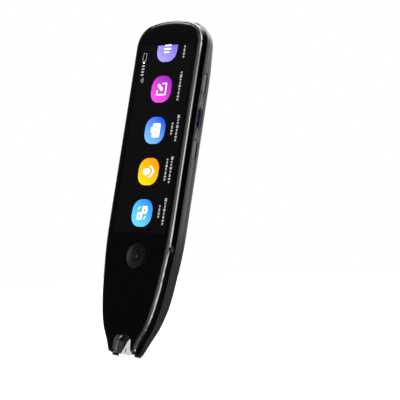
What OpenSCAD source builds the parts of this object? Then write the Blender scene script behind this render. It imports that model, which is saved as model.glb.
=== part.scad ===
// Handheld scan translator: a flat pen-shaped reader with a colour screen and a forked scanning tip.
// It stands on the two toes of its tip: Z runs up its length, the screen faces -Y, and the side
// buttons and the charging port are on its +X side. Millimetres.

/* [Case] */
// Length from the toes to the top edge
case_len = 148; // [140:0.5:160]
// Greatest width
case_w = 40; // [38:0.5:44]
// Thickness from the cover glass to the flat of the back
case_t = 11.6; // [11.6:0.1:13]
// Radius of the two upper corners, seen from the front
corner_r = 10.4; // [9.6:0.1:12]
// Angle through which the gently bowed top edge turns before each corner
top_deg = 13.7; // [10:0.1:16]
// Distance between the centres of the two toes' rounding, which the sides draw in to
toe_spread = 9.84; // [9.6:0.02:10.4]
// Angle that the sides have turned through where they reach the toes
toe_deg = 24.3; // [23:0.1:25]
// Radius of each toe of the case, seen from the front
toe_r = 4.4; // [4:0.1:5]
// Height of the case's toes over the surface, where the scan tip reaches past them
toe_gap = 1; // [0.9:0.1:1.5]
// Radius of the side of the case, in section
side_r = 9.6; // [9:0.1:11]
// Radius of the rounded edge of the back, in section
rear_r = 7.6; // [7:0.1:8]
// Angle at which the side's curve hands over to the edge of the back
side_deg = 30; // [28:1:32]
// Height at which the back starts to curve forward to the tip
slope_z = 28; // [26:1:32]
// Radius of that curve
slope_r = 75; // [70:1:90]
// Thickness of the back wall
wall = 1.4; // [1.2:0.1:1.6]
// Depth behind the glass's front at which the frame ends and the rear shell starts
seam_depth = 3.4; // [3.2:0.1:3.6]

/* [Front] */
// Thickness of the cover glass
glass_t = 1.1; // [1:0.1:1.3]
// Distance of the glass's edge from the case's outline
glass_inset = 1.1; // [1:0.05:1.3]
// Width of the glass's rounded-off edge
glass_edge = 2.2; // [1.5:0.1:2.6]
// How far the glass's edge drops below its face
glass_drop = 0.35; // [0.2:0.05:0.45]
// Width of the black border on each side of the screen's picture
border_w = 4.4; // [4.2:0.1:5]
// Distance of the picture's upper edge below the top of the case
screen_drop = 11.7; // [11.2:0.1:13]
// Height of the lower edge of the picture
screen_z = 53; // [52.6:0.1:54]
// Height of the home button's centre
home_z = 42.9; // [42:0.1:44]
// Diameter of the ring around the home button
home_ring_d = 12.4; // [12:0.1:13]
// Diameter of the home button
home_d = 11.3; // [11:0.1:11.4]
// Depth of the dish in the home button
home_dish = 0.55; // [0.3:0.05:0.6]
// Travel of the home button
home_travel = 0.3; // [0.2:0.05:0.3]
// Height of the microphone's hole in the ring, on the right side
mic_z = 46.6; // [45:0.1:48]

/* [Side] */
// Distance of the upper side button's centre below the top of the case
button_drop = 28.1; // [27.5:0.1:29.5]
// Distance of the charging port's centre below the top
port_drop = 43.6; // [43:0.1:44.2]
// Distance of the lower side button's centre below the top
button2_drop = 57.1; // [56.5:0.1:58]
// Length of a side button
button_len = 8.2; // [7.5:0.1:9]
// Width of a side button
button_w = 3.2; // [2.8:0.1:3.2]
// Travel of a side button
button_travel = 0.35; // [0.25:0.05:0.35]
// Length of the mouth of the charging port
port_len = 8.94; // [8.9:0.01:9]
// Height of the mouth of the charging port
port_h = 3.2; // [3.16:0.02:3.26]

/* [Back] */
// Distance of the rear camera's centre below the top of the case
camera_drop = 8.9; // [8.4:0.1:9.6]
// Diameter of the rear camera's bezel
camera_d = 8.2; // [8:0.1:8.6]
// How far the bezel stands off the back
camera_proud = 0.5; // [0.3:0.1:0.7]
// Distance of the loudspeaker grille's centre below the top
grille_drop = 23.7; // [22.8:0.1:24.6]
// Diameter of a grille hole
grille_hole_d = 0.8; // [0.6:0.1:0.9]
// Spacing of the grille holes across
grille_pitch = 1.9; // [1.7:0.1:2]

/* [Scan tip] */
// Width of the gap between the tip's toes
notch_w = 10.2; // [9.6:0.1:10.4]
// Height of that gap
notch_h = 9; // [8.5:0.1:9.4]
// Outer width of the sliding tip
tip_w = 14; // [13.6:0.1:14.2]
// Height of the sliding tip's arch
tip_h = 11.2; // [11:0.1:11.4]
// Travel of the sliding tip
tip_travel = 0.8; // [0.5:0.1:0.8]
// Thickness of the clear window between the toes
window_t = 0.8; // [0.6:0.1:1]

/* [Fits] */
// Clearance between a sliding piece and its opening
fit_gap = 0.12; // [0.08:0.01:0.15]
// Clearance between a fixed piece and its pocket
lay_gap = 0.05; // [0.03:0.01:0.08]

/* [Hidden] */
$fa = 2;
$fs = 0.25;

// Depths, front to back
front_y = -case_t / 2;
back_y = case_t / 2;
glass_back_y = front_y + glass_t;
rim_y = front_y + glass_drop + 0.3;
screen_back_y = glass_back_y + 1.3;
web_back_y = screen_back_y + 0.8;
seam_y = front_y + seam_depth;
board_back_y = web_back_y + 1;
port_y = board_back_y + port_h / 2;
inner_back_y = back_y - wall;

// Heights of what is placed from the top
button_z = case_len - button_drop;
port_z = case_len - port_drop;
button2_z = case_len - button2_drop;
camera_z = case_len - camera_drop;
grille_z = case_len - grille_drop;

// Outline, seen from the front: every arc leaves its neighbour without a corner. The sides' radius
// follows from the width of the case and the spread of its toes
half_w = case_w / 2;
corner_x = half_w - corner_r;
top_r = corner_r + corner_x / sin(top_deg);
top_z = case_len - top_r;
corner_z = top_z + (top_r - corner_r) * cos(top_deg);
toe_z = toe_gap + toe_r;
toe_x = toe_spread / 2;
taper_r = (half_w - toe_x - toe_r * cos(toe_deg)) / (1 - cos(toe_deg));
taper_z = toe_z + (taper_r - toe_r) * sin(toe_deg);

// Section of the side
side_y = back_y - rear_r - (side_r - rear_r) * sin(side_deg);
rear_x = side_r - (side_r - rear_r) * cos(side_deg);
ledge_y = side_y + side_r * sin(side_deg);
side_tilt = asin((port_y - side_y) / side_r);
port_inset = side_r * (1 - cos(side_tilt));

// Inside the case
shell_inset = 2.4;
deep_inset = 4.9;
lip_inset = 1.4;
frame_inset = 2.8;
board_inset = frame_inset + 2 * lay_gap;
screen_w = case_w - 2 * border_w;
screen_h = case_len - screen_drop - screen_z;
screen_edge = 1.2;
light_t = 0.4;
flex_w = 10;
bulk_z = tip_h + tip_travel + 0.1;
bulk_t = 2.2;
hollow_z = bulk_z + bulk_t;
head_z = hollow_z + lay_gap;
head_t = 1.1;
spring_z = head_z + head_t + tip_travel + lay_gap;
spring_len = 3.8;
spring_x = 6;
spring_y = 0.3;
board_z = button2_z - 6.9;
home_board_x = half_w - 4.2;
home_board_y = web_back_y + 0.8;
battery_z = 36;
battery_w = case_w - 13.2;
battery_len = board_z - battery_z - 2;
socket_x = 3.1 - battery_w / 2;
boss_x = half_w - 4.8;
boss_zs = [case_len - 17, (port_z + button2_z) / 2, battery_z + 20];
boss_d = 3.4;
screw_d = 1.2;
screw_head_d = 2.8;
screw_head_t = 0.5;
mesh_t = 0.1;
stem_z = tip_h - 1.9;
stem_w = 2;
home_flange_r = home_ring_d / 2 + 0.4;
flex_z = home_z + home_flange_r + 0.3;
button_zs = [button_z, button2_z];
cap_x = half_w - shell_inset - lay_gap;
flange_t = 0.5;
switch_x = cap_x - flange_t - 0.6 - button_travel - lay_gap;

// A flat plate between two depths; its outline is drawn as (x, z)
module plate(y0, y1) {
    translate([0, y1, 0]) rotate([90, 0, 0]) linear_extrude(y1 - y0) children();
}

// A block from its lowest corner to its highest
module block(a, b) {
    translate(a) cube(b - a);
}

// A bar along X with rounded ends, seen along X as a pill standing on Z
module pill(x0, x1, y, z, len, w) {
    hx = x1 - x0;
    translate([x0, y, z]) rotate([0, 90, 0]) linear_extrude(hx) {
        square([len - w, w], center = true);
        for (s = [-1, 1]) translate([s * (len - w) / 2, 0]) circle(d = w);
    }
}

// A pin along Y
module pin(x, z, y0, y1, d) {
    translate([x, y0, z]) rotate([-90, 0, 0]) cylinder(d = d, h = y1 - y0);
}

// Points along an arc, leaving out its first
function arc_points(x, z, r, a0, a1, n) = [for (i = [1:n]) let (a = a0 + (a1 - a0) * i / n) [x + r * cos(a), z + r * sin(a)]];

// Right half of the case's outline from the top to the middle of the tip, drawn in by d
function half_outline(d) = concat(
    arc_points(0, top_z, top_r - d, 90, 90 - top_deg, 4),
    arc_points(corner_x, corner_z, corner_r - d, 90 - top_deg, 0, 10),
    [[half_w - d, taper_z]],
    arc_points(half_w - taper_r, taper_z, taper_r - d, 0, -toe_deg, 10),
    arc_points(toe_x, toe_z, max(toe_r - d, 0.3), -toe_deg, -90, 6)
);

// The case's outline drawn in by d, for pieces that lie inside the case
module outline(d) {
    right = half_outline(d);
    polygon(concat(right, [for (i = [len(right) - 1:-1:0]) [-right[i][0], right[i][1]]], [[0, case_len - d]]));
}

// The same, cut off straight below a height
module upper_outline(d, z0) {
    intersection() {
        outline(d);
        translate([-half_w, z0]) square([case_w, case_len]);
    }
}

// Moves to a point in two steps, so that pieces which meet there do so to the last decimal
module exactly(p) {
    coarse = [for (v = p) round(100 * v) / 100];
    translate(coarse) translate(p - coarse) children();
}

// Carries a section over the top, the corners and the straight sides; x = 0 is the outline and the
// case lies at x < 0
module over_top() {
    for (m = [0, 1]) mirror([m, 0, 0]) {
        exactly([0, 0, top_z]) mirror([0, 1, -1]) rotate([0, 0, 90]) rotate_extrude(angle = top_deg)
            exactly([top_r, 0]) children();
        exactly([corner_x, 0, corner_z]) mirror([0, 1, -1]) rotate_extrude(angle = 90 - top_deg)
            exactly([corner_r, 0]) children();
        // two straight lengths that overlap, so that each starts exactly at its arc
        exactly([half_w, 0, taper_z]) linear_extrude(corner_z - taper_z - 10) children();
        exactly([half_w, 0, corner_z]) mirror([0, 0, 1]) linear_extrude(20) children();
    }
}

// Carries a section down the tapering side, which turns by deg
module down_side(deg) {
    exactly([half_w - taper_r, 0, taper_z]) rotate([-90, 0, 0]) rotate_extrude(angle = deg)
        exactly([taper_r, 0]) children();
}

// Carries a shallow section all the way, round the toes too
module around() {
    over_top() children();
    for (m = [0, 1]) mirror([m, 0, 0]) {
        down_side(toe_deg) children();
        exactly([toe_x, 0, toe_z]) mirror([0, 1, -1]) rotate([0, 0, -90]) rotate_extrude(angle = 90 - toe_deg)
            exactly([toe_r, 0]) children();
    }
}

// The arch of the tip: straight sides that open a little towards the toes, and rounded upper corners
module arch(w, h, r, flare = 0.5) {
    polygon([[-w / 2 - flare, -5], [w / 2 + flare, -5], [w / 2, h - r], [-w / 2, h - r]]);
    translate([-w / 2 + r, 0]) square([w - 2 * r, h]);
    for (s = [-1, 1]) translate([s * (w / 2 - r), h - r]) circle(r);
}

// Everything in front of the curve that brings the back forward to the tip, drawn with flats that
// turn by a few degrees at a time
module slope(grow = 0) {
    flats = 6;
    turn = asin((slope_z + 1) / slope_r) / (flats + 0.5);
    apex = (slope_r + grow) / cos(turn / 2);
    curve = [for (i = [0:flats]) [back_y - slope_r, slope_z] + apex * [cos((i + 0.5) * turn), -sin((i + 0.5) * turn)]];
    translate([-half_w - 1, 0, 0]) rotate([90, 0, 90]) linear_extrude(case_w + 2)
        polygon(concat([[front_y - 1, case_len + 1], [back_y + 2, case_len + 1], 2 * curve[0] - curve[1]],
            curve, [[front_y - 1, curve[flats][1]]]));
}

// Everything inside the rounding of the case's toes; it leaves the toes just outside the tapering sides
module toe_limit() {
    limit_r = toe_r + 0.06;
    leave = [toe_x, toe_gap + limit_r] + limit_r * [cos(toe_deg), -sin(toe_deg)];
    far = [half_w + 1, case_len + 1];
    polygon([leave, [far[0], leave[1]], far, [-far[0], far[1]], [-far[0], leave[1]], [-leave[0], leave[1]]]);
    for (s = [-1, 1]) translate([s * toe_x, toe_gap + limit_r]) circle(limit_r);
    translate([-toe_x, toe_gap]) square([2 * toe_x, limit_r]);
}

// Inside of the case's side, less a skin
module side_core(skin) {
    translate([half_w - side_r, side_y, button2_z - 20]) cylinder(r = side_r - skin, h = button_z - button2_z + 40);
}

module cover_glass() {
    color([0.02, 0.02, 0.025]) difference() {
        union() {
            around() glass_edge_section();
            plate(front_y, glass_back_y) outline(glass_inset + glass_edge + 0.3);
        }
        plate(front_y - 1, glass_back_y + 1) arch(notch_w, notch_h, 3.6);
        pin(0, home_z, front_y - 1, glass_back_y + 1, home_ring_d);
    }
}

// Section of the glass's rim, rounded off by a few flats on an arc that leaves the face without a crease
module glass_edge_section() {
    r = (glass_edge * glass_edge + glass_drop * glass_drop) / (2 * glass_drop);
    inner = glass_inset + glass_edge;
    polygon(concat(
        [for (i = [0:5]) let (run = glass_edge * i / 5) [run - inner, front_y + r - sqrt(r * r - run * run)]],
        [[-glass_inset, glass_back_y], [-inner - 0.6, glass_back_y], [-inner - 0.6, front_y]]
    ));
}

// The bright ring between the glass and the frame
module trim_ring() {
    color([0.86, 0.87, 0.88]) difference() {
        around() polygon([
            [-glass_inset, rim_y], [-0.4, rim_y], [-0.42, rim_y - 0.08],
            [-0.85, rim_y - 0.47], [-glass_inset, rim_y - 0.47],
        ]);
        plate(front_y - 1, seam_y) arch(notch_w, notch_h, 3.6);
        mic_hole();
    }
}

// The microphone's hole in the ring and the frame, low on the right side
module mic_hole() {
    translate([half_w - 2.2, rim_y + 0.1, mic_z]) rotate([0, 90, 0]) cylinder(d = 0.9, h = 3);
}

// The glossy black frame that shows as a band around the side, with the web that carries everything
module mid_frame() {
    color([0.03, 0.03, 0.035]) difference() {
        union() {
            around() polygon([
                [-0.4, rim_y], [0, seam_y], [-frame_inset, seam_y], [-frame_inset, glass_back_y],
                [-glass_inset, glass_back_y], [-glass_inset, rim_y],
            ]);
            plate(glass_back_y, web_back_y) outline(frame_inset - 0.2);
            plate(web_back_y - 0.2, seam_y + 0.65) difference() {
                upper_outline(lip_inset + 2 * lay_gap, hollow_z + 1);
                upper_outline(lip_inset + 0.9, hollow_z + 2);
            }
        }
        // pocket of the screen
        screen_block(lay_gap, glass_back_y - 1, screen_back_y);
        // slot for the screen's cable
        block([-flex_w / 2 - 0.3, front_y, flex_z - 0.3], [flex_w / 2 + 0.3, seam_y, screen_z - 2]);
        // well of the home button
        pin(0, home_z, glass_back_y - 1, glass_back_y + 0.8, home_ring_d + 1.6);
        pin(0, home_z, glass_back_y - 1, seam_y + 1, 8);
        // room for the sliding tip
        plate(glass_back_y, seam_y + 1) arch(tip_w + 2 * fit_gap, bulk_z, 4.2);
        plate(front_y, seam_y) arch(notch_w, notch_h, 3.6);
        for (z = boss_zs, s = [-1, 1]) {
            pin(s * boss_x, z, front_y, web_back_y - 0.8 + screw_head_t, screw_head_d);
            pin(s * boss_x, z, front_y, seam_y, screw_d);
        }
        mic_hole();
    }
}

// The room of the screen between two depths, grown all round
module screen_block(grow, y0, y1) {
    block([-screen_w / 2 - screen_edge - grow, y0, screen_z - 2.5 - grow],
          [screen_w / 2 + screen_edge + grow, y1, screen_z + screen_h + 2 + grow]);
}

// Half section of the back: the side's curve, the rounded edge and the flat. The edge's circle is let out
// by a hair, so that it crosses its neighbours instead of just touching them
module shell_section() {
    hair = 0.01;
    intersection() {
        translate([-rear_x - 1, seam_y]) square([rear_x + 1, back_y - seam_y]);
        union() {
            intersection() {
                translate([-side_r, side_y]) circle(side_r);
                polygon([
                    [-side_r, side_y], [-side_r, seam_y - 1], [1, seam_y - 1],
                    [1, side_y + (side_r + 1) * tan(side_deg)],
                ]);
            }
            translate([-rear_x, back_y - rear_r] + hair * [cos(side_deg), sin(side_deg)]) circle(rear_r);
            translate([-rear_x - 1, seam_y]) square([1, back_y - seam_y]);
        }
    }
}

// The back without its hollow
module shell_body() {
    intersection() {
        union() {
            over_top() shell_section();
            for (m = [0, 1]) mirror([m, 0, 0]) intersection() {
                down_side(toe_deg + 4) shell_section();
                slope();
            }
            intersection() {
                plate(seam_y, back_y) outline(rear_x + 0.5);
                slope();
            }
        }
        plate(seam_y - 1, back_y + 1) toe_limit();
    }
}

module rear_shell() {
    color([0.33, 0.33, 0.35]) difference() {
        shell_body();
        // hollow, in three steps that follow the rounded edge
        plate(seam_y - 1, board_back_y + lay_gap) upper_outline(lip_inset, hollow_z + 1);
        plate(seam_y - 1, ledge_y) upper_outline(shell_inset, hollow_z);
        intersection() {
            plate(seam_y - 1, inner_back_y) upper_outline(deep_inset, hollow_z);
            translate([0, -wall, 0]) slope();
        }
        // room for the sliding tip and its two stems
        plate(seam_y - 1, back_y + 1) arch(tip_w + 2 * fit_gap, bulk_z, 4.2);
        for (s = [-1, 1]) translate([s * spring_x, spring_y, 0])
            block([-stem_w / 2 - fit_gap, -1.2 - fit_gap, stem_z - 0.3], [stem_w / 2 + fit_gap, 1.2 + fit_gap, hollow_z + 1]);
        // the scan camera looks through this hole
        translate([0, spring_y, bulk_z - 1]) cylinder(d = 5.6, h = bulk_t + 2);
        // side buttons and port, each with a polished bevel around its mouth
        for (z = button_zs) {
            pill(half_w - 4, half_w + 1, port_y, z, button_len + 2 * fit_gap, button_w + 2 * fit_gap);
            mouth_bevel(z, button_len, button_w);
        }
        pill(half_w - 4, half_w + 1, port_y, port_z, port_len + 2 * fit_gap, port_h + 2 * fit_gap);
        mouth_bevel(port_z, port_len, port_h);
        // camera and grille
        pin(0, camera_z, inner_back_y - 1, back_y + 1, camera_d);
        grille() pin(0, 0, inner_back_y - 1, back_y + 1, grille_hole_d);
    }
    color([0.33, 0.33, 0.35]) {
        for (z = boss_zs, s = [-1, 1]) difference() {
            pin(s * boss_x, z, web_back_y, ledge_y + 0.4, boss_d);
            pin(s * boss_x, z, web_back_y - 1, web_back_y + 2.6, screw_d);
        }
        // seats of the tip's springs
        for (s = [-1, 1]) translate([s * spring_x, 0, spring_z + spring_len])
            block([-1.6, spring_y - 1.5, 0], [1.6, inner_back_y - 0.2, 1.4]);
    }
}

// A shallow bevel around an opening, square to the curve of the side where the opening comes out
module mouth_bevel(z, len, w) {
    translate([half_w - port_inset, port_y, z]) rotate([0, 0, side_tilt]) pill(-0.32, 2, 0, 0, len + 1, w + 1);
}

// Places a hole at every point of the grille: an oval of sixteen around rows of four, five and four
module grille() {
    row_z = grille_pitch * 0.87;
    for (a = [12, 36, 60, 80], sx = [-1, 1], sz = [-1, 1])
        translate([sx * 3 * grille_pitch * cos(a), 0, grille_z + sz * 3.4 * sin(a)]) children();
    for (i = [-2:2]) translate([i * grille_pitch, 0, grille_z]) children();
    for (i = [-1.5:1.5], sz = [-1, 1]) translate([i * grille_pitch, 0, grille_z + sz * row_z]) children();
}

module home_ring() {
    color([0.75, 0.76, 0.78]) difference() {
        pin(0, home_z, front_y - 0.04, glass_back_y, home_ring_d);
        pin(0, home_z, front_y - 1, glass_back_y + 1, home_d + 2 * fit_gap);
    }
}

// Turns a section about an axis along Y: x is the radius, y the depth
module lathe(x, z) {
    translate([x, 0, z]) mirror([0, 1, -1]) rotate_extrude() children();
}

module home_button() {
    face_y = front_y + 0.05;
    rim_r = home_d / 2 - 0.35;
    ball_r = (rim_r * rim_r + home_dish * home_dish) / (2 * home_dish);
    flange_y = glass_back_y + lay_gap;
    color([0.12, 0.12, 0.13]) lathe(0, home_z) difference() {
        union() {
            translate([0, face_y]) square([home_d / 2, flange_y + 0.1 - face_y]);
            translate([0, flange_y]) square([home_flange_r, 0.4]);
            translate([0, flange_y]) square([1.3, web_back_y - 0.4 - home_travel - lay_gap - flange_y]);
        }
        translate([0, face_y + home_dish - ball_r]) circle(ball_r, $fa = 0.5);
    }
}

// A side button: a pill flush with the curved side, a retaining flange and a nub
module side_button(z) {
    color([0.42, 0.38, 0.38]) {
        intersection() {
            pill(cap_x - 0.1, half_w + 1, port_y, z, button_len, button_w);
            side_core(0.08);
        }
        pill(cap_x - flange_t, cap_x, port_y, z, button_len + 2, button_w - 0.2);
        pill(cap_x - flange_t - 0.6, cap_x - flange_t, port_y, z, 2.4, 1.6);
    }
}

module side_button_upper() {
    side_button(button_z);
}

module side_button_lower() {
    side_button(button2_z);
}

// The sliding tip: an arch whose two toes touch the page, with a stem and a stop over each leg
module scan_tip() {
    guard_y = glass_back_y + lay_gap;
    color([0.17, 0.17, 0.18]) difference() {
        union() {
            intersection() {
                plate(guard_y, back_y) difference() {
                    arch(tip_w, tip_h, 4);
                    arch(notch_w, notch_h, 3.6);
                }
                slope(0.1);
                union() {
                    block([-half_w, guard_y, toe_gap + 0.5], [half_w, back_y, tip_h]);
                    block([-half_w, front_y + 2.6, 0], [half_w, 0.1, tip_h]);
                }
            }
            for (s = [-1, 1]) translate([s * spring_x, spring_y, 0]) {
                block([-stem_w / 2, -1.2, stem_z], [stem_w / 2, 1.2, head_z + 0.1]);
                block([-1.5, -1.6, head_z], [1.5, 1.6, head_z + head_t]);
            }
            // arm that presses the tip's switch
            block([spring_x, spring_y - 1.2, head_z], [10, spring_y + 1.2, head_z + head_t]);
        }
        for (s = [-1, 1]) translate([s * notch_w / 2, 0, 0])
            block([-1, guide_y0, -1], [1, guide_y1, guide_z]);
        translate([0, spring_y, notch_h - 1]) cylinder(d = 4.6, h = 4);
    }
}

guide_y0 = glass_back_y + 0.4;
guide_y1 = 0.7;
guide_z = 6.3;

// Frosted blocks in the legs that spread the scanning light over the page
module light_guides() {
    color([0.80, 0.81, 0.83, 0.9]) for (m = [0, 1]) mirror([m, 0, 0]) intersection() {
        block([notch_w / 2 - 1, guide_y0, toe_gap], [notch_w / 2 + 1, guide_y1, guide_z]);
        plate(guide_y0, guide_y1) difference() {
            translate([0, toe_gap]) square([notch_w, guide_z]);
            arch(notch_w, notch_h, 3.6);
        }
    }
}

// The clear window between the toes
module tip_window() {
    color([0.92, 0.95, 0.97, 0.3]) plate(guide_y0 + 0.9, guide_y0 + 0.9 + window_t) intersection() {
        arch(notch_w, notch_h, 3.6);
        translate([-notch_w, toe_gap - 0.3]) square([2 * notch_w, notch_h]);
    }
}

// The line printed on the window, which is aimed at the row of text
module guide_mark() {
    y = guide_y0 + 0.9 + window_t;
    color([0.30, 0.40, 0.80]) block([-0.25, y, 1.6], [0.25, y + 0.08, 3.3]);
}

module display_panel() {
    color([0.07, 0.07, 0.08])
        screen_block(0, glass_back_y, screen_back_y - light_t);
}

module backlight() {
    color([0.85, 0.86, 0.88])
        screen_block(0, screen_back_y - light_t, screen_back_y);
}

// The screen's cable: through the web, up its back and onto the main board
module display_flex() {
    t = 0.2;
    half = flex_w / 2;
    root_y = screen_back_y - light_t - 0.5;
    tail_z = board_z - 0.6;
    color([0.72, 0.45, 0.12]) {
        block([-half, root_y, flex_z], [half, web_back_y + t, flex_z + t]);
        block([-half, root_y, flex_z], [half, root_y + t, screen_z - 2.5]);
        block([-half, web_back_y, flex_z], [half, web_back_y + t, tail_z]);
        block([-half, web_back_y, tail_z - t], [half, board_back_y + t, tail_z]);
        block([-half, board_back_y, tail_z - t], [half, board_back_y + t, tail_z + 4]);
    }
}

module main_board() {
    color([0.05, 0.30, 0.16]) difference() {
        plate(web_back_y, board_back_y) upper_outline(board_inset, board_z);
        for (z = boss_zs, s = [-1, 1]) pin(s * boss_x, z, front_y, back_y, boss_d + 0.2);
    }
}

module processor() {
    color([0.10, 0.10, 0.11]) block([-9, board_back_y, port_z - 4.4], [2, board_back_y + 1.2, port_z + 6.6]);
}

module memory_chip() {
    color([0.12, 0.12, 0.13]) block([-9, board_back_y, board_z + 5], [1, board_back_y + 1, board_z + 13]);
}

module radio_shield() {
    color([0.78, 0.79, 0.80]) block([6 - half_w, board_back_y, button_z - 5.9], [1, board_back_y + 1.6, button_z + 7.1]);
}

module antenna() {
    color([0.85, 0.83, 0.76]) block([5.5 - half_w, board_back_y, case_len - 14], [-7, board_back_y + 1, case_len - 11]);
}

// One microphone behind the top edge and one behind the hole in the ring
module microphones() {
    color([0.80, 0.70, 0.45]) {
        block([8, board_back_y, case_len - 9], [11, board_back_y + 1, case_len - 6.5]);
        block([home_board_x - 3.2, home_board_y, mic_z - 1.3], [home_board_x - 0.2, home_board_y + 1, mic_z + 1.3]);
    }
}

// The metal sleeve of the charging port
module usb_shell() {
    mouth_x = half_w - port_inset - 0.5;
    color([0.80, 0.81, 0.82]) difference() {
        pill(mouth_x - 7.3, mouth_x, port_y, port_z, port_len, port_h);
        pill(mouth_x - 6.5, mouth_x + 1, port_y, port_z, port_len - 0.6, port_h - 0.6);
    }
}

module usb_tongue() {
    mouth_x = half_w - port_inset - 0.5;
    color([0.10, 0.25, 0.55]) {
        block([mouth_x - 6.5, port_y - 0.35, port_z - 3.35], [mouth_x - 0.7, port_y + 0.35, port_z + 3.35]);
        pill(mouth_x - 6.5, mouth_x - 5.6, port_y, port_z, port_len - 0.6, port_h - 0.6);
    }
}

// The two push switches behind the side buttons
module side_switches() {
    color([0.75, 0.75, 0.72]) for (z = button_zs)
        block([switch_x - 3.2, board_back_y, z - 2.4], [switch_x, port_y + 1, z + 2.4]);
}

// The board behind the home button, which reaches over to the lower microphone
module home_board() {
    color([0.05, 0.30, 0.16])
        block([-8, web_back_y, home_z - 5.6], [home_board_x, home_board_y, home_z + 6.1]);
}

module home_switch() {
    color([0.82, 0.82, 0.80]) pin(0, home_z, web_back_y - 0.4, web_back_y, 5);
}

module battery() {
    color([0.62, 0.63, 0.66])
        block([-battery_w / 2, inner_back_y - 4.7, battery_z], [battery_w / 2, inner_back_y - 0.1, battery_z + battery_len]);
}

module battery_tape() {
    color([0.92, 0.92, 0.90])
        block([-battery_w / 2 + 2, inner_back_y - 0.1, battery_z + 3],
              [battery_w / 2 - 2, inner_back_y, battery_z + battery_len - 3]);
}

// The battery's two leads and the plug on them
module battery_lead() {
    end_z = battery_z + battery_len;
    color([0.65, 0.08, 0.08]) for (x = [-0.7, 0.7])
        block([socket_x + x - 0.4, board_back_y + 0.3, end_z], [socket_x + x + 0.4, board_back_y + 1.1, board_z + 2]);
}

module battery_socket() {
    color([0.93, 0.92, 0.88]) block([socket_x - 2, board_back_y, board_z + 2], [socket_x + 2, board_back_y + 1.5, board_z + 4.6]);
}

module speaker() {
    color([0.14, 0.14, 0.15]) block([-9, inner_back_y - 2.7, grille_z - 6], [9, inner_back_y - mesh_t, grille_z + 6]);
}

module speaker_mesh() {
    color([0.05, 0.05, 0.05]) block([-7, inner_back_y - mesh_t, grille_z - 4.8], [7, inner_back_y, grille_z + 4.8]);
}

module camera_bezel() {
    color([0.08, 0.08, 0.09]) difference() {
        pin(0, camera_z, inner_back_y, back_y + camera_proud, camera_d);
        pin(0, camera_z, inner_back_y - 1, back_y + camera_proud + 1, camera_d - 1.6);
    }
}

// The camera's cover, a shallow dome of dark glass
module camera_window() {
    r = camera_d / 2 - 0.8;
    rise = 0.35;
    ball_r = (r * r + rise * rise) / (2 * rise);
    color([0.05, 0.05, 0.08]) lathe(0, camera_z) intersection() {
        translate([0, back_y - 0.9]) square([r, camera_proud + 1.4]);
        translate([0, back_y + camera_proud + 0.2 - ball_r]) circle(ball_r, $fa = 0.5);
    }
}

module camera_module() {
    color([0.10, 0.10, 0.11]) {
        block([-4, board_back_y, camera_z - 4], [4, 3.4, camera_z + 3.6]);
        pin(0, camera_z, 3.4, back_y - 0.9, 5.2);
    }
}

module scan_board() {
    color([0.05, 0.30, 0.16])
        block([9.8 - half_w, web_back_y, hollow_z + 2.2], [half_w - 9.8, web_back_y + 0.8, battery_z - 0.5]);
}

module scan_camera() {
    color([0.13, 0.13, 0.14])
        block([-4.2, web_back_y + 0.8, spring_z + spring_len + 2], [4.2, 3, spring_z + spring_len + 11]);
}

module scan_lens() {
    color([0.20, 0.20, 0.22]) translate([0, spring_y, hollow_z + 0.4])
        cylinder(d = 4, h = spring_z + spring_len + 1.6 - hollow_z);
}

// The lamps that light the page through the frosted blocks
module scan_leds() {
    color([0.95, 0.93, 0.70]) for (s = [-1, 1])
        block([s * 8.6 - 0.8, web_back_y + 0.8, 26], [s * 8.6 + 0.8, web_back_y + 1.6, 29]);
}

// A coil along Z, with twelve steps to a turn and six flats around the wire
module coil(r, wire, turns, height) {
    steps = 12;
    flats = 6;
    n = turns * steps;
    ring = [for (k = [0:flats - 1]) [cos(60 * k), sin(60 * k)] * wire / 2];
    points = [for (i = [0:n], q = ring) [
        (r + q[0]) * cos(360 * i / steps), (r + q[0]) * sin(360 * i / steps), height * i / n + q[1],
    ]];
    sides = [for (i = [0:n - 1], k = [0:flats - 1], half = [0, 1]) let (
        a = flats * i + k,
        b = flats * i + (k + 1) % flats
    ) half == 0 ? [a, b, b + flats] : [a, b + flats, a + flats]];
    start_cap = [for (k = [flats - 1:-1:0]) k];
    end_cap = [for (k = [0:flats - 1]) flats * n + k];
    polyhedron(points, concat(sides, [start_cap, end_cap]));
}

// The tip's two springs, at the length they have while nothing presses the tip
module tip_springs() {
    wire = 0.35;
    low_z = head_z + head_t + 0.02;
    height = spring_z + spring_len - low_z;
    color([0.80, 0.80, 0.78]) for (s = [-1, 1])
        translate([s * spring_x, spring_y, low_z + wire / 2]) coil(1.05, wire, 6, height - wire);
}

module tip_switch() {
    color([0.75, 0.75, 0.72])
        block([8, web_back_y + 0.8, spring_z], [10, spring_y + 1, spring_z + 3]);
}

// The six screws that hold the web to the rear shell
module case_screws() {
    color([0.70, 0.70, 0.72]) for (z = boss_zs, s = [-1, 1]) {
        pin(s * boss_x, z, web_back_y - 0.8, web_back_y - 0.8 + screw_head_t, screw_head_d);
        pin(s * boss_x, z, web_back_y - 0.8, web_back_y + 2.4, screw_d);
    }
}

cover_glass();
trim_ring();
mid_frame();
rear_shell();
home_ring();
home_button();
side_button_upper();
side_button_lower();
scan_tip();
tip_window();
guide_mark();
light_guides();
display_panel();
backlight();
display_flex();
main_board();
processor();
memory_chip();
radio_shield();
antenna();
microphones();
usb_shell();
usb_tongue();
side_switches();
home_board();
home_switch();
battery();
battery_tape();
battery_lead();
battery_socket();
speaker();
speaker_mesh();
camera_bezel();
camera_window();
camera_module();
scan_board();
scan_camera();
scan_lens();
scan_leds();
tip_springs();
tip_switch();
case_screws();
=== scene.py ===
import math

import bpy
from mathutils import Matrix, Vector


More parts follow.
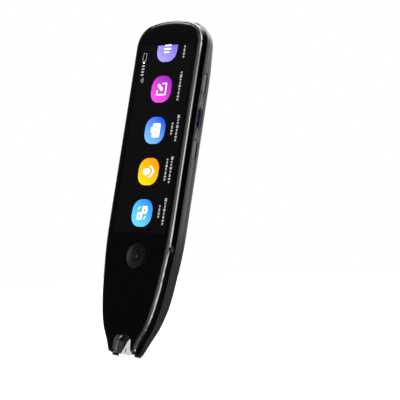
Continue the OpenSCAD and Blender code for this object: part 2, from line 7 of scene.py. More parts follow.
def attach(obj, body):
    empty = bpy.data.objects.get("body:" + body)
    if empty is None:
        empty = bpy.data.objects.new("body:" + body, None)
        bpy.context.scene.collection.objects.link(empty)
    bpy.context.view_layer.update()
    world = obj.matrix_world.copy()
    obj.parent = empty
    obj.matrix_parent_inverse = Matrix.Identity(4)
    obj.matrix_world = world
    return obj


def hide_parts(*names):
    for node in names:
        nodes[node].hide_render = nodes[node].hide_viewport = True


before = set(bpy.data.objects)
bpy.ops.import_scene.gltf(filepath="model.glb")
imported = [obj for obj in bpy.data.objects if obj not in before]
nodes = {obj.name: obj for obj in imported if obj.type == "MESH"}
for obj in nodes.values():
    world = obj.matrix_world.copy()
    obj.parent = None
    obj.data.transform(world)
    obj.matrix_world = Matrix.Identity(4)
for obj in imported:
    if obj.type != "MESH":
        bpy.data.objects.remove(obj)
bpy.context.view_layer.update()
mm = 0.001
print("frame loaded:", len(nodes), "nodes")


# camera, light and floor

view = {
    "aim": (0.0, 0.0, 0.074),
    "azimuth": 44.73,
    "elevation": -8.33,
    "roll": 8.81,
    "distance": 0.7129,
    "lens": 147.9,
    "sensor": 36,
    "clip": (0.05, 20),
    "picture": 400,                 # pixels along each side of the picture
    "aimPixel": (155.57, 187.56),   # where the aim lands in it
}


def placeCamera(view):
    azimuth, elevation, roll = (math.radians(view[name]) for name in ("azimuth", "elevation", "roll"))
    level = math.cos(elevation)
    back = Vector((math.sin(azimuth) * level, -math.cos(azimuth) * level, math.sin(elevation)))
    right = (-back).cross(Vector((0, 0, 1))).normalized()
    up = right.cross(-back)
    right, up = right * math.cos(roll) + up * math.sin(roll), up * math.cos(roll) - right * math.sin(roll)
    place = Vector(view["aim"]) + back * view["distance"]
    # turn a little off the aim instead of shifting the lens
    focal = view["lens"] / view["sensor"] * view["picture"]
    aside, above = (view["picture"] / 2 - pixel for pixel in view["aimPixel"])
    look = -back + right * aside / focal - up * above / focal
    back = -look.normalized()
    right = (right - back * right.dot(back)).normalized()
    up = back.cross(right)
    camera = bpy.data.objects.new("camera", bpy.data.cameras.new("camera"))
    bpy.context.scene.collection.objects.link(camera)
    turn = Matrix((right, up, back)).transposed().to_4x4()
    camera.matrix_world = Matrix.Translation(place) @ turn
    camera.data.lens = view["lens"]
    camera.data.sensor_width = view["sensor"]
    camera.data.clip_start, camera.data.clip_end = view["clip"]
    bpy.context.scene.camera = camera


def nodeTree(owner):
    owner.use_nodes = True
    owner.node_tree.nodes.clear()
    return owner.node_tree.nodes, owner.node_tree.links


# a math node; each of its inputs is a number or another node's output
def addMath(parts, link, operation, *inputs):
    node = parts.new("ShaderNodeMath")
    node.operation = operation
    for i, value in enumerate(inputs):
        if isinstance(value, (int, float)):
            node.inputs[i].default_value = value
        else:
            link.new(value, node.inputs[i])
    return node.outputs[0]


# one for rays from the camera, straight or through clear pieces, and nought for all others
def addSeen(parts, link):
    path = parts.new("ShaderNodeLightPath")
    straight, through = path.outputs["Is Camera Ray"], path.outputs["Is Transmission Ray"]
    return addMath(parts, link, "MAXIMUM", straight, through)


# each soft window of the room, in degrees: azimuth and elevation of its middle,
# half width, half height, blur; the strength comes last
windows = {
    "keyCore": (22, 5, 15, 38, 12, 4.6),
    "keyFade": (0, 5, 8, 38, 30, 1.6),
    "trimGlow": (62, 5, 16, 38, 9, 0.5),
    "sideBack": (172, 36, 14, 26, 24, 1.2),
    "back": (190, 20, 14, 36, 16, 0.5),
    "leftRim": (258, 8, 12, 46, 14, 1.2),
    "topLeft": (262, 46, 22, 12, 12, 2.2),
    "topBack": (192, 46, 18, 12, 12, 3.0),
    "frontDim": (-45, 42, 30, 20, 16, 0.05),
    "topFront": (-52, 50, 22, 14, 9, 5.5),
    "ceiling": (0, 90, 180, 36, 16, 0.8),
}
roomLevel = 0.02


def buildWindow():
    group = bpy.data.node_groups.new("softWindow", "ShaderNodeTree")
    face = group.interface
    for label in ("Azimuth", "Elevation", "Half Width", "Half Height", "Blur", "Strength"):
        face.new_socket(label, in_out="INPUT", socket_type="NodeSocketFloat")
    face.new_socket("Level", in_out="OUTPUT", socket_type="NodeSocketFloat")
    parts, link = group.nodes, group.links
    given = parts.new("NodeGroupInput")
    out = parts.new("NodeGroupOutput")

    def work(operation, *inputs):
        return addMath(parts, link, operation, *inputs)

    where = parts.new("ShaderNodeTexCoord")
    split = parts.new("ShaderNodeSeparateXYZ")
    link.new(where.outputs["Generated"], split.inputs[0])
    x, y, z = split.outputs
    turn = work("DEGREES", work("ARCTAN2", x, work("MULTIPLY", y, -1.0)))
    height = work("DEGREES", work("ARCSINE", z))
    aside = work("ABSOLUTE", work("WRAP", work("SUBTRACT", turn, given.outputs["Azimuth"]), 180.0, -180.0))
    above = work("ABSOLUTE", work("SUBTRACT", height, given.outputs["Elevation"]))
    masks = []
    for off, half in ((aside, "Half Width"), (above, "Half Height")):
        fade = parts.new("ShaderNodeMapRange")
        fade.interpolation_type = "SMOOTHSTEP"
        link.new(off, fade.inputs["Value"])
        link.new(given.outputs[half], fade.inputs["From Min"])
        link.new(work("ADD", given.outputs[half], given.outputs["Blur"]), fade.inputs["From Max"])
        fade.inputs["To Min"].default_value = 1.0
        fade.inputs["To Max"].default_value = 0.0
        masks.append(fade.outputs["Result"])
    link.new(work("MULTIPLY", work("MULTIPLY", *masks), given.outputs["Strength"]), out.inputs["Level"])
    return group


# the camera sees plain white, and the soft windows light the pieces
def buildWorld():
    world = bpy.data.worlds.new("studio")
    bpy.context.scene.world = world
    parts, link = nodeTree(world)
    out = parts.new("ShaderNodeOutputWorld")
    mix = parts.new("ShaderNodeMixShader")
    room = parts.new("ShaderNodeBackground")
    white = parts.new("ShaderNodeBackground")
    white.inputs["Color"].default_value = (1, 1, 1, 1)
    softWindow = buildWindow()
    level = roomLevel
    for name, values in windows.items():
        pane = parts.new("ShaderNodeGroup")
        pane.node_tree = softWindow
        pane.label = name
        for i, value in enumerate(values):
            pane.inputs[i].default_value = value
        level = addMath(parts, link, "ADD", pane.outputs["Level"], level)
    link.new(level, room.inputs["Strength"])
    link.new(addSeen(parts, link), mix.inputs["Fac"])
    link.new(room.outputs[0], mix.inputs[1])
    link.new(white.outputs[0], mix.inputs[2])
    link.new(mix.outputs[0], out.inputs["Surface"])


floorForm = {
    "radius": 0.30, "normal": (0.0, -0.283, 0.959),
    "paint": 0.6, "reflected": 0.05, "emission": 0.58,   # reflected is the paint as mirrors show it
}


# a disc through the lowest point of the case or the tip, clear from below
def buildFloor(floorForm):
    up = Vector(floorForm["normal"]).normalized()
    low = min((node.matrix_world @ v.co).dot(up)
              for node in (nodes["scan_tip"], nodes["mid_frame"]) for v in node.data.vertices)
    bpy.ops.object.select_all(action="DESELECT")
    bpy.ops.mesh.primitive_circle_add(vertices=96, radius=floorForm["radius"], fill_type="NGON",
                                      location=up * low)
    floor = bpy.context.object
    floor.name = "floor"
    floor.rotation_mode = "QUATERNION"
    floor.rotation_quaternion = up.to_track_quat("Z", "Y")
    coat = bpy.data.materials.new("paleFloor")
    parts, link = nodeTree(coat)
    out = parts.new("ShaderNodeOutputMaterial")
    paint = parts.new("ShaderNodeBsdfDiffuse")
    dark = parts.new("ShaderNodeMapRange")   # the floor is dim in the reflections, so the gloss stays black
    dark.inputs["To Min"].default_value = floorForm["paint"]
    dark.inputs["To Max"].default_value = floorForm["reflected"]
    link.new(dark.outputs["Result"], paint.inputs["Color"])
    path = parts.new("ShaderNodeLightPath")
    link.new(path.outputs["Is Glossy Ray"], dark.inputs["Value"])
    glow = parts.new("ShaderNodeEmission")
    level = addMath(parts, link, "MULTIPLY", addSeen(parts, link), floorForm["emission"])
    link.new(level, glow.inputs["Strength"])
    both = parts.new("ShaderNodeAddShader")
    link.new(paint.outputs[0], both.inputs[0])
    link.new(glow.outputs[0], both.inputs[1])
    clear = parts.new("ShaderNodeBsdfTransparent")
    under = parts.new("ShaderNodeNewGeometry")
    pick = parts.new("ShaderNodeMixShader")
    link.new(under.outputs["Backfacing"], pick.inputs["Fac"])
    link.new(both.outputs[0], pick.inputs[1])
    link.new(clear.outputs[0], pick.inputs[2])
    link.new(pick.outputs[0], out.inputs["Surface"])
    floor.data.materials.append(coat)


placeCamera(view)
buildWorld()
buildFloor(floorForm)
bpy.context.scene.view_settings.view_transform = "Standard"
print("camera, light and floor placed")


# materials

# fine grain for the roughness and the dents of every finish
def buildGrain():
    group = bpy.data.node_groups.new("fineGrain", "ShaderNodeTree")
    face = group.interface
    for label in ("Scale", "Low", "High"):
        face.new_socket(label, in_out="INPUT", socket_type="NodeSocketFloat")
    for label in ("Roughness", "Height"):
        face.new_socket(label, in_out="OUTPUT", socket_type="NodeSocketFloat")
    parts, link = group.nodes, group.links
    given = parts.new("NodeGroupInput")
    out = parts.new("NodeGroupOutput")
    where = parts.new("ShaderNodeTexCoord")
    noise = parts.new("ShaderNodeTexNoise")
    noise.inputs["Detail"].default_value = 3
    span = parts.new("ShaderNodeMapRange")
    link.new(where.outputs["Object"], noise.inputs["Vector"])
    link.new(given.outputs["Scale"], noise.inputs["Scale"])
    link.new(noise.outputs["Fac"], span.inputs["Value"])
    link.new(given.outputs["Low"], span.inputs["To Min"])
    link.new(given.outputs["High"], span.inputs["To Max"])
    link.new(span.outputs["Result"], out.inputs["Roughness"])
    link.new(noise.outputs["Fac"], out.inputs["Height"])
    return group


grain = buildGrain()
dentDepth = 0.02 * mm


# low and high are the bounds of the roughness, scale that of the grain
def makeFinish(name, colour, low, high, scale, bump=0.0, **more):
    coat = bpy.data.materials.new(name)
    parts, link = nodeTree(coat)
    out = parts.new("ShaderNodeOutputMaterial")
    body = parts.new("ShaderNodeBsdfPrincipled")
    body.name = "body"
    body.inputs["Base Color"].default_value = (*colour, 1)
    for key, value in more.items():
        body.inputs[key.replace("_", " ")].default_value = value
    speckle = parts.new("ShaderNodeGroup")
    speckle.node_tree = grain
    speckle.inputs["Scale"].default_value = scale
    speckle.inputs["Low"].default_value = low
    speckle.inputs["High"].default_value = high
    link.new(speckle.outputs["Roughness"], body.inputs["Roughness"])
    if bump:
        dents = parts.new("ShaderNodeBump")
        dents.inputs["Strength"].default_value = bump
        dents.inputs["Distance"].default_value = dentDepth
        link.new(speckle.outputs["Height"], dents.inputs["Height"])
        link.new(dents.outputs["Normal"], body.inputs["Normal"])
    link.new(body.outputs[0], out.inputs["Surface"])
    coat.diffuse_color = (*colour, 1)
    return coat


finishes = {
    "blackGlass": makeFinish("blackGlass", (0.0008, 0.0008, 0.0008), 0.03, 0.06, 60, Specular_IOR_Level=1.0),
    "brightRing": makeFinish("brightRing", (0.15, 0.153, 0.16), 0.12, 0.2, 500, Metallic=1.0),
    "glossFrame": makeFinish("glossFrame", (0.001, 0.001, 0.001), 0.05, 0.1, 80, Specular_IOR_Level=0.3),
    "greyShell": makeFinish("greyShell", (0.030, 0.030, 0.031), 0.26, 0.34, 1500, 0.05),
    "homeRing": makeFinish("homeRing", (0.08, 0.08, 0.085), 0.1, 0.16, 500, Metallic=1.0),
    "homeFace": makeFinish("homeFace", (0.003, 0.003, 0.003), 0.16, 0.22, 900, Specular_IOR_Level=0.8),
    "sideButton": makeFinish("sideButton", (0.105, 0.085, 0.085), 0.28, 0.36, 1500, 0.05),
    "tipPlastic": makeFinish("tipPlastic", (0.010, 0.010, 0.011), 0.3, 0.4, 1500, 0.05),
    "windowClear": makeFinish("windowClear", (0.95, 0.97, 0.98), 0.02, 0.05, 60,
                              Transmission_Weight=1.0, IOR=1.15),
    "guidePrint": makeFinish("guidePrint", (0.10, 0.12, 0.55), 0.5, 0.6, 900),
    "frostedGuide": makeFinish("frostedGuide", (0.10, 0.10, 0.105), 0.4, 0.5, 900),
    "portSteel": makeFinish("portSteel", (0.55, 0.56, 0.57), 0.25, 0.35, 900, Metallic=1.0),
    "portTongue": makeFinish("portTongue", (0.03, 0.06, 0.22), 0.4, 0.5, 900),
    "lensBezel": makeFinish("lensBezel", (0.012, 0.012, 0.013), 0.25, 0.32, 900),
    "lensGlass": makeFinish("lensGlass", (0.006, 0.006, 0.009), 0.05, 0.1, 80),
    "circuitBoard": makeFinish("circuitBoard", (0.01, 0.09, 0.035), 0.4, 0.55, 1500),
    "chipBlack": makeFinish("chipBlack", (0.012, 0.012, 0.013), 0.5, 0.6, 1500),
    "tinnedSteel": makeFinish("tinnedSteel", (0.58, 0.59, 0.60), 0.25, 0.4, 1200, Metallic=1.0),
    "foilPouch": makeFinish("foilPouch", (0.42, 0.43, 0.45), 0.3, 0.5, 600, 0.2, Metallic=0.9),
    "palePlastic": makeFinish("palePlastic", (0.72, 0.71, 0.68), 0.45, 0.55, 900),
    "flexAmber": makeFinish("flexAmber", (0.45, 0.17, 0.02), 0.3, 0.4, 900),
    "leadRed": makeFinish("leadRed", (0.38, 0.01, 0.01), 0.4, 0.5, 900),
    "giltCan": makeFinish("giltCan", (0.60, 0.45, 0.16), 0.25, 0.35, 900, Metallic=1.0),
    "lampYellow": makeFinish("lampYellow", (0.88, 0.84, 0.42), 0.3, 0.4, 900),
    "screenPanel": makeFinish("screenPanel", (0.01, 0.01, 0.012), 0.1, 0.15, 200),
    "meshBlack": makeFinish("meshBlack", (0.005, 0.005, 0.005), 0.7, 0.8, 3000, 0.3),
}

worn = {
    "cover_glass": "blackGlass", "trim_ring": "brightRing", "mid_frame": "glossFrame",
    "rear_shell": "greyShell", "home_ring": "homeRing", "home_button": "homeFace",
    "side_button_upper": "sideButton", "side_button_lower": "sideButton", "scan_tip": "tipPlastic",
    "tip_window": "windowClear", "guide_mark": "guidePrint", "light_guides": "frostedGuide",
    "display_panel": "screenPanel", "backlight": "palePlastic", "display_flex": "flexAmber",
    "main_board": "circuitBoard", "processor": "chipBlack", "memory_chip": "chipBlack",
    "radio_shield": "tinnedSteel", "antenna": "palePlastic", "microphones": "giltCan",
    "usb_shell": "portSteel", "usb_tongue": "portTongue", "side_switches": "palePlastic",
    "home_board": "circuitBoard", "home_switch": "palePlastic", "battery": "foilPouch",
    "battery_tape": "palePlastic", "battery_lead": "leadRed", "battery_socket": "palePlastic",
    "speaker": "chipBlack", "speaker_mesh": "meshBlack", "camera_bezel": "lensBezel",
    "camera_window": "lensGlass", "camera_module": "chipBlack", "scan_board": "circuitBoard",
    "scan_camera": "chipBlack", "scan_lens": "lensGlass", "scan_leds": "lampYellow",
    "tip_springs": "tinnedSteel", "tip_switch": "palePlastic", "case_screws": "tinnedSteel",
}


# the outer pieces are copies of their CAD nodes, drawn out a little with a cage
# lengths are in mm, and a pair of places says where a change begins and where it is whole
form = {
    "toeWide": 1.5, "toeSide": (6, 10), "toeRise": (41, 12),          # the sides stand out towards the tip
    "toeEnd": (13, 3), "toeEndShare": 0.95,                           # and come back at the toes
    "backFull": 0.85, "backSide": (9, 14), "backDepth": (0.8, 3.6),   # the edge of the back stands out
    "backFlat": (5.4, 4.2), "backTop": (146, 120),
    "footForward": 4.2, "footHeight": 7, "footDepth": (-1, 4),        # the feet are round behind
    "toeDrop": 1.4, "dropRise": (6.5, 1.5),                           # the toes reach down
    "toeLift": 1.2, "liftRise": (5, 1), "innerSide": (7.4, 5.2),      # and their inner edges up
    "cutX": (-14, -11.5, -9, 9, 11.5, 14), "cutY": (1.5, 2.5, 3.5, 4.6),
    "cutZ": (1.5, 3, 4.5, 6, 8, 12, 17, 22, 27, 32, 37, 42, 60, 80, 100, 118, 125, 131, 137),
    "merge": 0.001,
    "smoothAngle": 28, "plainAngle": 1.5, "plain": ("mid_frame",),    # in degrees; plain nodes shade flat
    "grid": (33, 15, 60), "size": (44, 14, 152), "middle": (0, 0.3, 74),
}


def grow(places, value):
    begin, whole = places
    share = min(max((value - begin) / (whole - begin), 0), 1)
    return share * share * (3 - 2 * share)


# how far a point moves; drop is how far the toes reach down, and nought for the pieces of the tip
def drawnOut(x, y, z, drop):
    wide = form["toeWide"] * grow(form["toeSide"], abs(x)) * grow(form["toeRise"], z)
    wide *= 1 - form["toeEndShare"] * grow(form["toeEnd"], z)
    full = form["backFull"] * grow(form["backSide"], abs(x)) * grow(form["backDepth"], y)
    full *= grow(form["backTop"], z)
    low = min(max(1 - z / form["footHeight"], 0), 1)
    forward = form["footForward"] * (1 - math.sqrt(1 - low * low)) * grow(form["footDepth"], y)
    inner = grow(form["innerSide"], abs(x))
    down = drop * grow(form["dropRise"], z) * (1 - inner)
    if drop:
        down -= form["toeLift"] * inner * grow(form["liftRise"], z)
    return math.copysign(wide + full, x), full * grow(form["backFlat"], y) - forward, -down


def makeCage(name, drop):
    bpy.ops.object.select_all(action="DESELECT")
    bpy.ops.object.add(type="LATTICE", location=[c * mm for c in form["middle"]])
    cage = bpy.context.object
    cage.name = name
    cage.scale = [c * mm for c in form["size"]]
    cage.data.points_u, cage.data.points_v, cage.data.points_w = form["grid"]
    for point in cage.data.points:
        place = [point.co[i] * form["size"][i] + form["middle"][i] for i in range(3)]
        move = drawnOut(*place, drop)
        point.co_deform = [point.co[i] + move[i] / form["size"][i] for i in range(3)]
    return cage


def copyNode(node):
    piece = bpy.data.objects.new(node + "_skin", nodes[node].data.copy())
    piece.data.name = piece.name
    piece.data.transform(nodes[node].matrix_world)
    bpy.context.scene.collection.objects.link(piece)
    bpy.ops.object.select_all(action="DESELECT")
    piece.select_set(True)
    bpy.context.view_layer.objects.active = piece
    return piece


# long faces are cut across, so that they can follow the cage
def cutAcross():
    bpy.ops.object.mode_set(mode="EDIT")
    bpy.ops.mesh.select_all(action="SELECT")
    bpy.ops.mesh.remove_doubles(threshold=form["merge"] * mm)
    for places, axis in ((form["cutZ"], (0, 0, 1)), (form["cutX"], (1, 0, 0)), (form["cutY"], (0, 1, 0))):
        for place in places:
            bpy.ops.mesh.select_all(action="SELECT")
            bpy.ops.mesh.bisect(plane_co=[c * place * mm for c in axis], plane_no=axis)
    bpy.ops.object.mode_set(mode="OBJECT")


def drawOut(node, cage):
    piece = copyNode(node)
    cutAcross()
    change = piece.modifiers.new("drawOut", "LATTICE")
    change.object = cage
    bpy.ops.object.modifier_apply(modifier=change.name)
    plain = node in form["plain"]
    bpy.ops.object.shade_smooth_by_angle(angle=math.radians(form["plainAngle" if plain else "smoothAngle"]))
    if not plain:
        # keeps the flats flat beside their round edges
        even = piece.modifiers.new("even", "WEIGHTED_NORMAL")
        even.keep_sharp = True
        bpy.ops.object.modifier_apply(modifier=even.name)
    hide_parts(node)
    return piece


shown = dict(nodes)
# name of the cage, drop of the toes, body, nodes
for cageName, drop, body, names in (
    ("caseCage", form["toeDrop"], "case", ("rear_shell", "mid_frame", "trim_ring", "cover_glass")),
    ("tipCage", 0, "scan_tip", ("scan_tip", "light_guides")),
):
    cage = makeCage(cageName, drop)
    for node in names:
        shown[node] = drawOut(node, cage)
        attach(shown[node], body)
    bpy.data.objects.remove(cage)
print("outer pieces drawn out")

for name, finish in worn.items():
    for place in shown[name].material_slots:
        place.material = finishes[finish]
print("finishes made:", len(finishes))

# the lit screen: picture, icons, state marks, label bars

# all in mm; the fronts of the layers stand a little nearer to the eye one after the other
glassFront = -5.80   # frame Y of the flat of the glass
pictureFront = glassFront - 0.006
iconFront = glassFront - 0.016
glyphFront = glassFront - 0.026
arcFront = glyphFront - 0.003
detailFront = glassFront - 0.035
pictureThick, plateThick, iconThick = 0.005, 0.006, 0.008
strokeStep, waveStep = 0.0004, 0.001   # how much nearer each further piece of a mark stands


def startPiece(name, finish):
    piece = bpy.context.object
    piece.name = piece.data.name = name
    piece.data.materials.append(finish)
    return piece


def seatPiece():
    bpy.ops.object.transform_apply(location=True, rotation=True, scale=True)


def thicken(thick):
    bpy.ops.mesh.select_all(action="SELECT")
    bpy.ops.mesh.extrude_region_move(TRANSFORM_OT_translate={"value": (0, -thick * mm, 0)})
    bpy.ops.mesh.select_all(action="SELECT")
    bpy.ops.mesh.normals_make_consistent(inside=False)


# a rounded plate that faces the front; turn is in degrees in the plane of the screen
def addPlate(name, finish, x, z, width, height, corner, front, thick=plateThick, turn=0.0, steps=6):
    bpy.ops.object.select_all(action="DESELECT")
    bpy.ops.mesh.primitive_plane_add(size=mm, location=(x * mm, (front + thick) * mm, z * mm),
                                     rotation=(math.radians(90), math.radians(turn), 0))
    bpy.context.object.scale = (width, height, 1)
    seatPiece()
    bpy.ops.object.mode_set(mode="EDIT")
    bpy.ops.mesh.select_all(action="SELECT")
    if corner:
        offset = min(corner, width / 2.001, height / 2.001) * mm   # under half, so that no edge closes up
        bpy.ops.mesh.bevel(offset=offset, segments=steps, affect="VERTICES")
        bpy.ops.mesh.select_all(action="SELECT")
    thicken(thick)
    bpy.ops.object.mode_set(mode="OBJECT")
    return startPiece(name, finish)


# a flat ring that faces the front; each cut is (x, z) of the side that is taken away
def addRing(name, finish, x, z, radius, width, front, cuts=()):
    bpy.ops.object.select_all(action="DESELECT")
    bpy.ops.mesh.primitive_circle_add(vertices=48, radius=(radius + width / 2) * mm, fill_type="NGON",
                                      location=(x * mm, (front + plateThick) * mm, z * mm),
                                      rotation=(math.radians(90), 0, 0))
    seatPiece()
    bpy.ops.object.mode_set(mode="EDIT")
    bpy.ops.mesh.select_mode(type="FACE")
    bpy.ops.mesh.select_all(action="SELECT")
    bpy.ops.mesh.inset(thickness=width * mm)
    bpy.ops.mesh.delete(type="FACE")
    for side in cuts:
        bpy.ops.mesh.select_all(action="SELECT")
        bpy.ops.mesh.bisect(plane_co=(x * mm, 0, z * mm), plane_no=(side[0], 0, side[1]), clear_outer=True)
    thicken(plateThick)
    bpy.ops.object.mode_set(mode="OBJECT")
    return startPiece(name, finish)


def joinPieces(name, pieces):
    bpy.ops.object.select_all(action="DESELECT")
    for piece in pieces:
        piece.select_set(True)
    bpy.context.view_layer.objects.active = pieces[0]
    bpy.ops.object.join()
    pieces[0].name = pieces[0].data.name = name
    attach(pieces[0], "case")


# places of the colour sockets of a mix node
mixLow, mixHigh, mixOut = 6, 7, 2


# colour that runs from one tone to the other across an icon
def buildBlend():
    group = bpy.data.node_groups.new("toneBlend", "ShaderNodeTree")
    face = group.interface
    for label in ("Middle", "Slope"):
        face.new_socket(label, in_out="INPUT", socket_type="NodeSocketVector")
    for label in ("Low Tone", "High Tone"):
        face.new_socket(label, in_out="INPUT", socket_type="NodeSocketColor")
    face.new_socket("Tone", in_out="OUTPUT", socket_type="NodeSocketColor")
    parts, link = group.nodes, group.links
    given = parts.new("NodeGroupInput")
    out = parts.new("NodeGroupOutput")
    where = parts.new("ShaderNodeTexCoord")
    off = parts.new("ShaderNodeVectorMath")
    off.operation = "SUBTRACT"
    along = parts.new("ShaderNodeVectorMath")
    along.operation = "DOT_PRODUCT"
    span = parts.new("ShaderNodeMapRange")
    span.inputs["From Min"].default_value = -1.0
    span.inputs["From Max"].default_value = 1.0
    mix = parts.new("ShaderNodeMix")
    mix.data_type = "RGBA"
    link.new(where.outputs["Object"], off.inputs[0])
    link.new(given.outputs["Middle"], off.inputs[1])
    link.new(off.outputs["Vector"], along.inputs[0])
    link.new(given.outputs["Slope"], along.inputs[1])
    link.new(along.outputs["Value"], span.inputs["Value"])
    link.new(span.outputs["Result"], mix.inputs["Factor"])
    link.new(given.outputs["Low Tone"], mix.inputs[mixLow])
    link.new(given.outputs["High Tone"], mix.inputs[mixHigh])
    link.new(mix.outputs[mixOut], out.inputs["Tone"])
    return group


toneBlend = buildBlend()


def addTones(finish, middle, slope, low, high):
    parts, link = finish.node_tree.nodes, finish.node_tree.links
    tones = parts.new("ShaderNodeGroup")
    tones.node_tree = toneBlend
    tones.inputs["Middle"].default_value = middle
    tones.inputs["Slope"].default_value = slope
    tones.inputs["Low Tone"].default_value = (*low, 1)
    tones.inputs["High Tone"].default_value = (*high, 1)
    link.new(tones.outputs["Tone"], parts["body"].inputs["Base Color"])
    link.new(tones.outputs["Tone"], parts["body"].inputs["Emission Color"])


# everything on the screen is as smooth as the glass
def makeScreenFinish(name, colour, **more):
    return makeFinish(name, colour, 0.03, 0.06, 60, **more)


screen = {
    "width": 31.2, "top": 136.3, "bottom": 53.0, "iconSize": 12.0, "iconCorner": 4.9, "glow": 0.35,
    "white": (0.80, 0.82, 0.86), "grey": (0.22, 0.22, 0.23), "ink": (0.06, 0.14, 0.42),
    "slope": (95, 0, 130),   # how fast the tones of an icon change, per metre
    "icons": {
        # name: height, left-low tone, right-high tone
        "iconViolet": (134.8, (0.24, 0.20, 0.62), (0.07, 0.065, 0.60)),
        "iconMagenta": (116.5, (0.50, 0.05, 0.42), (0.17, 0.01, 0.26)),
        "iconBlue": (98.1, (0.12, 0.29, 0.60), (0.005, 0.05, 0.50)),
        "iconOrange": (79.8, (0.66, 0.40, 0.005), (0.64, 0.17, 0.003)),
        "iconCyan": (61.6, (0.07, 0.40, 0.60), (0.02, 0.14, 0.46)),
    },
}
pictureFinish = makeScreenFinish("screenPicture", (0.0022, 0.0022, 0.0025), Specular_IOR_Level=0.8)
glyphFinish = makeScreenFinish("screenWhite", screen["white"], Emission_Color=(*screen["white"], 1),
                               Emission_Strength=screen["glow"])
dimFinish = makeScreenFinish("screenGrey", screen["grey"], Emission_Color=(*screen["grey"], 1),
                             Emission_Strength=screen["glow"])

picture = addPlate("screen_picture", pictureFinish, 0, (screen["top"] + screen["bottom"]) / 2,
                   screen["width"], screen["top"] - screen["bottom"], 0, pictureFront, pictureThick)
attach(picture, "case")

for name, (height, low, high) in screen["icons"].items():
    finish = makeScreenFinish(name, high, Emission_Strength=screen["glow"])
    addTones(finish, (0, 0, height * mm), screen["slope"], low, high)
    icon = addPlate(name, finish, 0, height, screen["iconSize"], screen["iconSize"], screen["iconCorner"],
                    iconFront, iconThick, steps=10)
    # an icon that reaches past the picture is cut off at its top
    if height + screen["iconSize"] / 2 > screen["top"]:
        bpy.ops.object.mode_set(mode="EDIT")
        bpy.ops.mesh.select_all(action="SELECT")
        bpy.ops.mesh.bisect(plane_co=(0, 0, screen["top"] * mm), plane_no=(0, 0, 1), clear_outer=True,
                            use_fill=True)
        bpy.ops.object.mode_set(mode="OBJECT")
    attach(icon, "case")
print("screen and icons made")

glyphs = {
    # plates: x, z from the icon's middle, width, height, corner, turn
    "iconViolet": [
        (0.2, 1.4, 3.8, 0.62, 0.3, 0), (0.1, -0.15, 4.4, 0.62, 0.3, 0), (-0.2, -1.7, 3.2, 0.62, 0.3, 0),
    ],
    "iconMagenta": [
        (0.2, -2.5, 5.6, 0.55, 0.27, 0), (2.75, 0, 0.55, 5.5, 0.27, 0), (1.6, 2.5, 2.8, 0.55, 0.27, 0),
        (-2.35, -1.5, 0.55, 2.4, 0.27, 0), (-0.75, 0.85, 4.1, 1.35, 0.67, 42),
    ],
    "iconBlue": [(0.75, 0, 4.5, 6.2, 0.7, 0), (-1.7, 0.2, 1.5, 2.6, 0.5, 0)],
    "iconOrange": [(-1.2, 0, 4.2, 2.7, 1.3, 0), (3.0, 0, 1.0, 0.6, 0.2, 0)],
    "iconCyan": [
        (1.35, 1.35, 3.1, 3.3, 0.7, 0), (-1.25, -1.35, 3.1, 3.3, 0.7, 0),
        (-2.2, 2.0, 0.4, 1.9, 0.2, 36), (1.95, -2.0, 0.4, 1.9, 0.2, 36),
    ],
}
orangeArc = {"x": 0.3, "radius": 2.35, "width": 0.6}
for owner, plates in glyphs.items():
    height = screen["icons"][owner][0]
    made = []
    for i, (x, z, wide, tall, corner, turn) in enumerate(plates):
        front = glyphFront - strokeStep * i
        made.append(addPlate("stroke", glyphFinish, x, height + z, wide, tall, corner, front, turn=turn))
    if owner == "iconOrange":
        made.append(addRing("arc", glyphFinish, orangeArc["x"], height, orangeArc["radius"],
                            orangeArc["width"], arcFront, cuts=((-1, 0),)))
    joinPieces(owner.replace("icon", "mark"), made)

# dark details that sit on the white marks
inkFinish = makeScreenFinish("screenInk", screen["ink"])
lensRing = {"x": 0.45, "z": 0.1, "radius": 1.15, "width": 0.34}
details = {
    # name: icon; x, z from its middle, width, height, corner, turn
    "flashDot": ("iconBlue", (-0.6, 2.2, 0.6, 0.6, 0.3, 0)),
    "cardDot": ("iconCyan", (1.35, 1.35, 0.9, 1.1, 0.2, 20)),
    "cardBar": ("iconCyan", (-1.25, -1.35, 0.8, 1.3, 0.2, 0)),
}
height = screen["icons"]["iconBlue"][0]
made = [addRing("lensRing", inkFinish, lensRing["x"], height + lensRing["z"], lensRing["radius"],
                lensRing["width"], detailFront)]
for name, (owner, (x, z, wide, tall, corner, turn)) in details.items():
    height = screen["icons"][owner][0]
    made.append(addPlate(name, inkFinish, x, height + z, wide, tall, corner, detailFront, turn=turn))
joinPieces("markDetails", made)

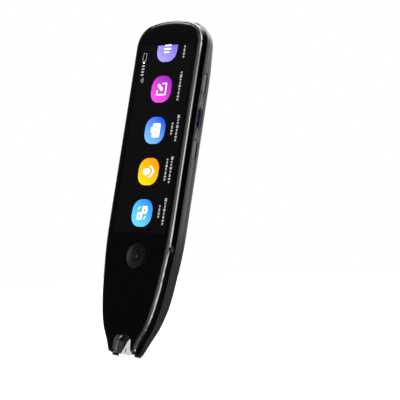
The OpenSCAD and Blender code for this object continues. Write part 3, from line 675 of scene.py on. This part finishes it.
# state marks along the left edge, from the top: battery, four bars, wireless fan
state = {
    "x": -13.2,
    "cellHeight": 131.4, "capHeight": 128.9, "barHeight": 127.4, "barStep": 1.35, "barCount": 4,
    # each edge of the battery: x and z from its middle, width, height
    "cellEdges": ((-1.0, 0, 0.24, 3.6), (1.0, 0, 0.24, 3.6), (0, 1.7, 2.2, 0.24), (0, -1.7, 2.2, 0.24)),
    "cellCorner": 0.1, "cap": (1.1, 0.7, 0.2), "bar": (1.7, 0.8, 0.3),   # width, height, corner
    "fanHeight": 120.9, "fanAside": -0.9, "waves": (0.7, 1.4, 2.1), "waveWidth": 0.28,
    "fanSides": ((-0.6, 0.8), (-0.6, -0.8)),
}
battery = []
for aside, above, wide, tall in state["cellEdges"]:
    x, z = state["x"] + aside, state["cellHeight"] + above
    battery.append(addPlate("cell", dimFinish, x, z, wide, tall, state["cellCorner"], iconFront))
battery.append(addPlate("cap", glyphFinish, state["x"], state["capHeight"], *state["cap"], iconFront))
joinPieces("stateBattery", battery)
digits = []
for i in range(state["barCount"]):
    height = state["barHeight"] - state["barStep"] * i
    digits.append(addPlate("digit", dimFinish, state["x"], height, *state["bar"], iconFront))
joinPieces("stateNumber", digits)
fan = []
for i, radius in enumerate(state["waves"]):
    fan.append(addRing("wave", dimFinish, state["x"] + state["fanAside"], state["fanHeight"], radius,
                       state["waveWidth"], iconFront - waveStep * i, cuts=state["fanSides"]))
joinPieces("stateWireless", fan)

# plain bars where labels would stand
labels = {
    "runs": (1.0, 0.8, 1.5, 0.9, 1.2), "widths": (0.9, 1.3, 0.85),   # of the bars in a line, taken in turn
    "gap": 0.42, "corner": 0.25, "leastRun": 0.4,
    # each line: x, middle from the icon's, length
    "lines": {
        "iconViolet": ((10.3, -1.6, 6.0),),
        "iconMagenta": ((10.7, 1.4, 13.6),),
        "iconBlue": ((10.0, 0.6, 5.4), (13.0, 1.0, 12.0)),
        "iconOrange": ((10.3, 0.8, 9.6), (13.0, 1.0, 12.0)),
        "iconCyan": ((10.0, 0.6, 5.0), (13.0, 1.0, 12.0)),
    },
}
bars = []
for owner, lines in labels["lines"].items():
    height = screen["icons"][owner][0]
    for x, middle, length in lines:
        low = height + middle - length / 2
        top = height + middle + length / 2
        i = 0
        while low < top - labels["leastRun"]:
            run = labels["runs"][i % len(labels["runs"])]
            width = labels["widths"][i % len(labels["widths"])]
            bars.append(addPlate("bar", dimFinish, x, low + run / 2, width, run, labels["corner"], iconFront,
                                 steps=3))
            low = low + run + labels["gap"]
            i += 1
joinPieces("labelBars", bars)
print("marks and label bars made")
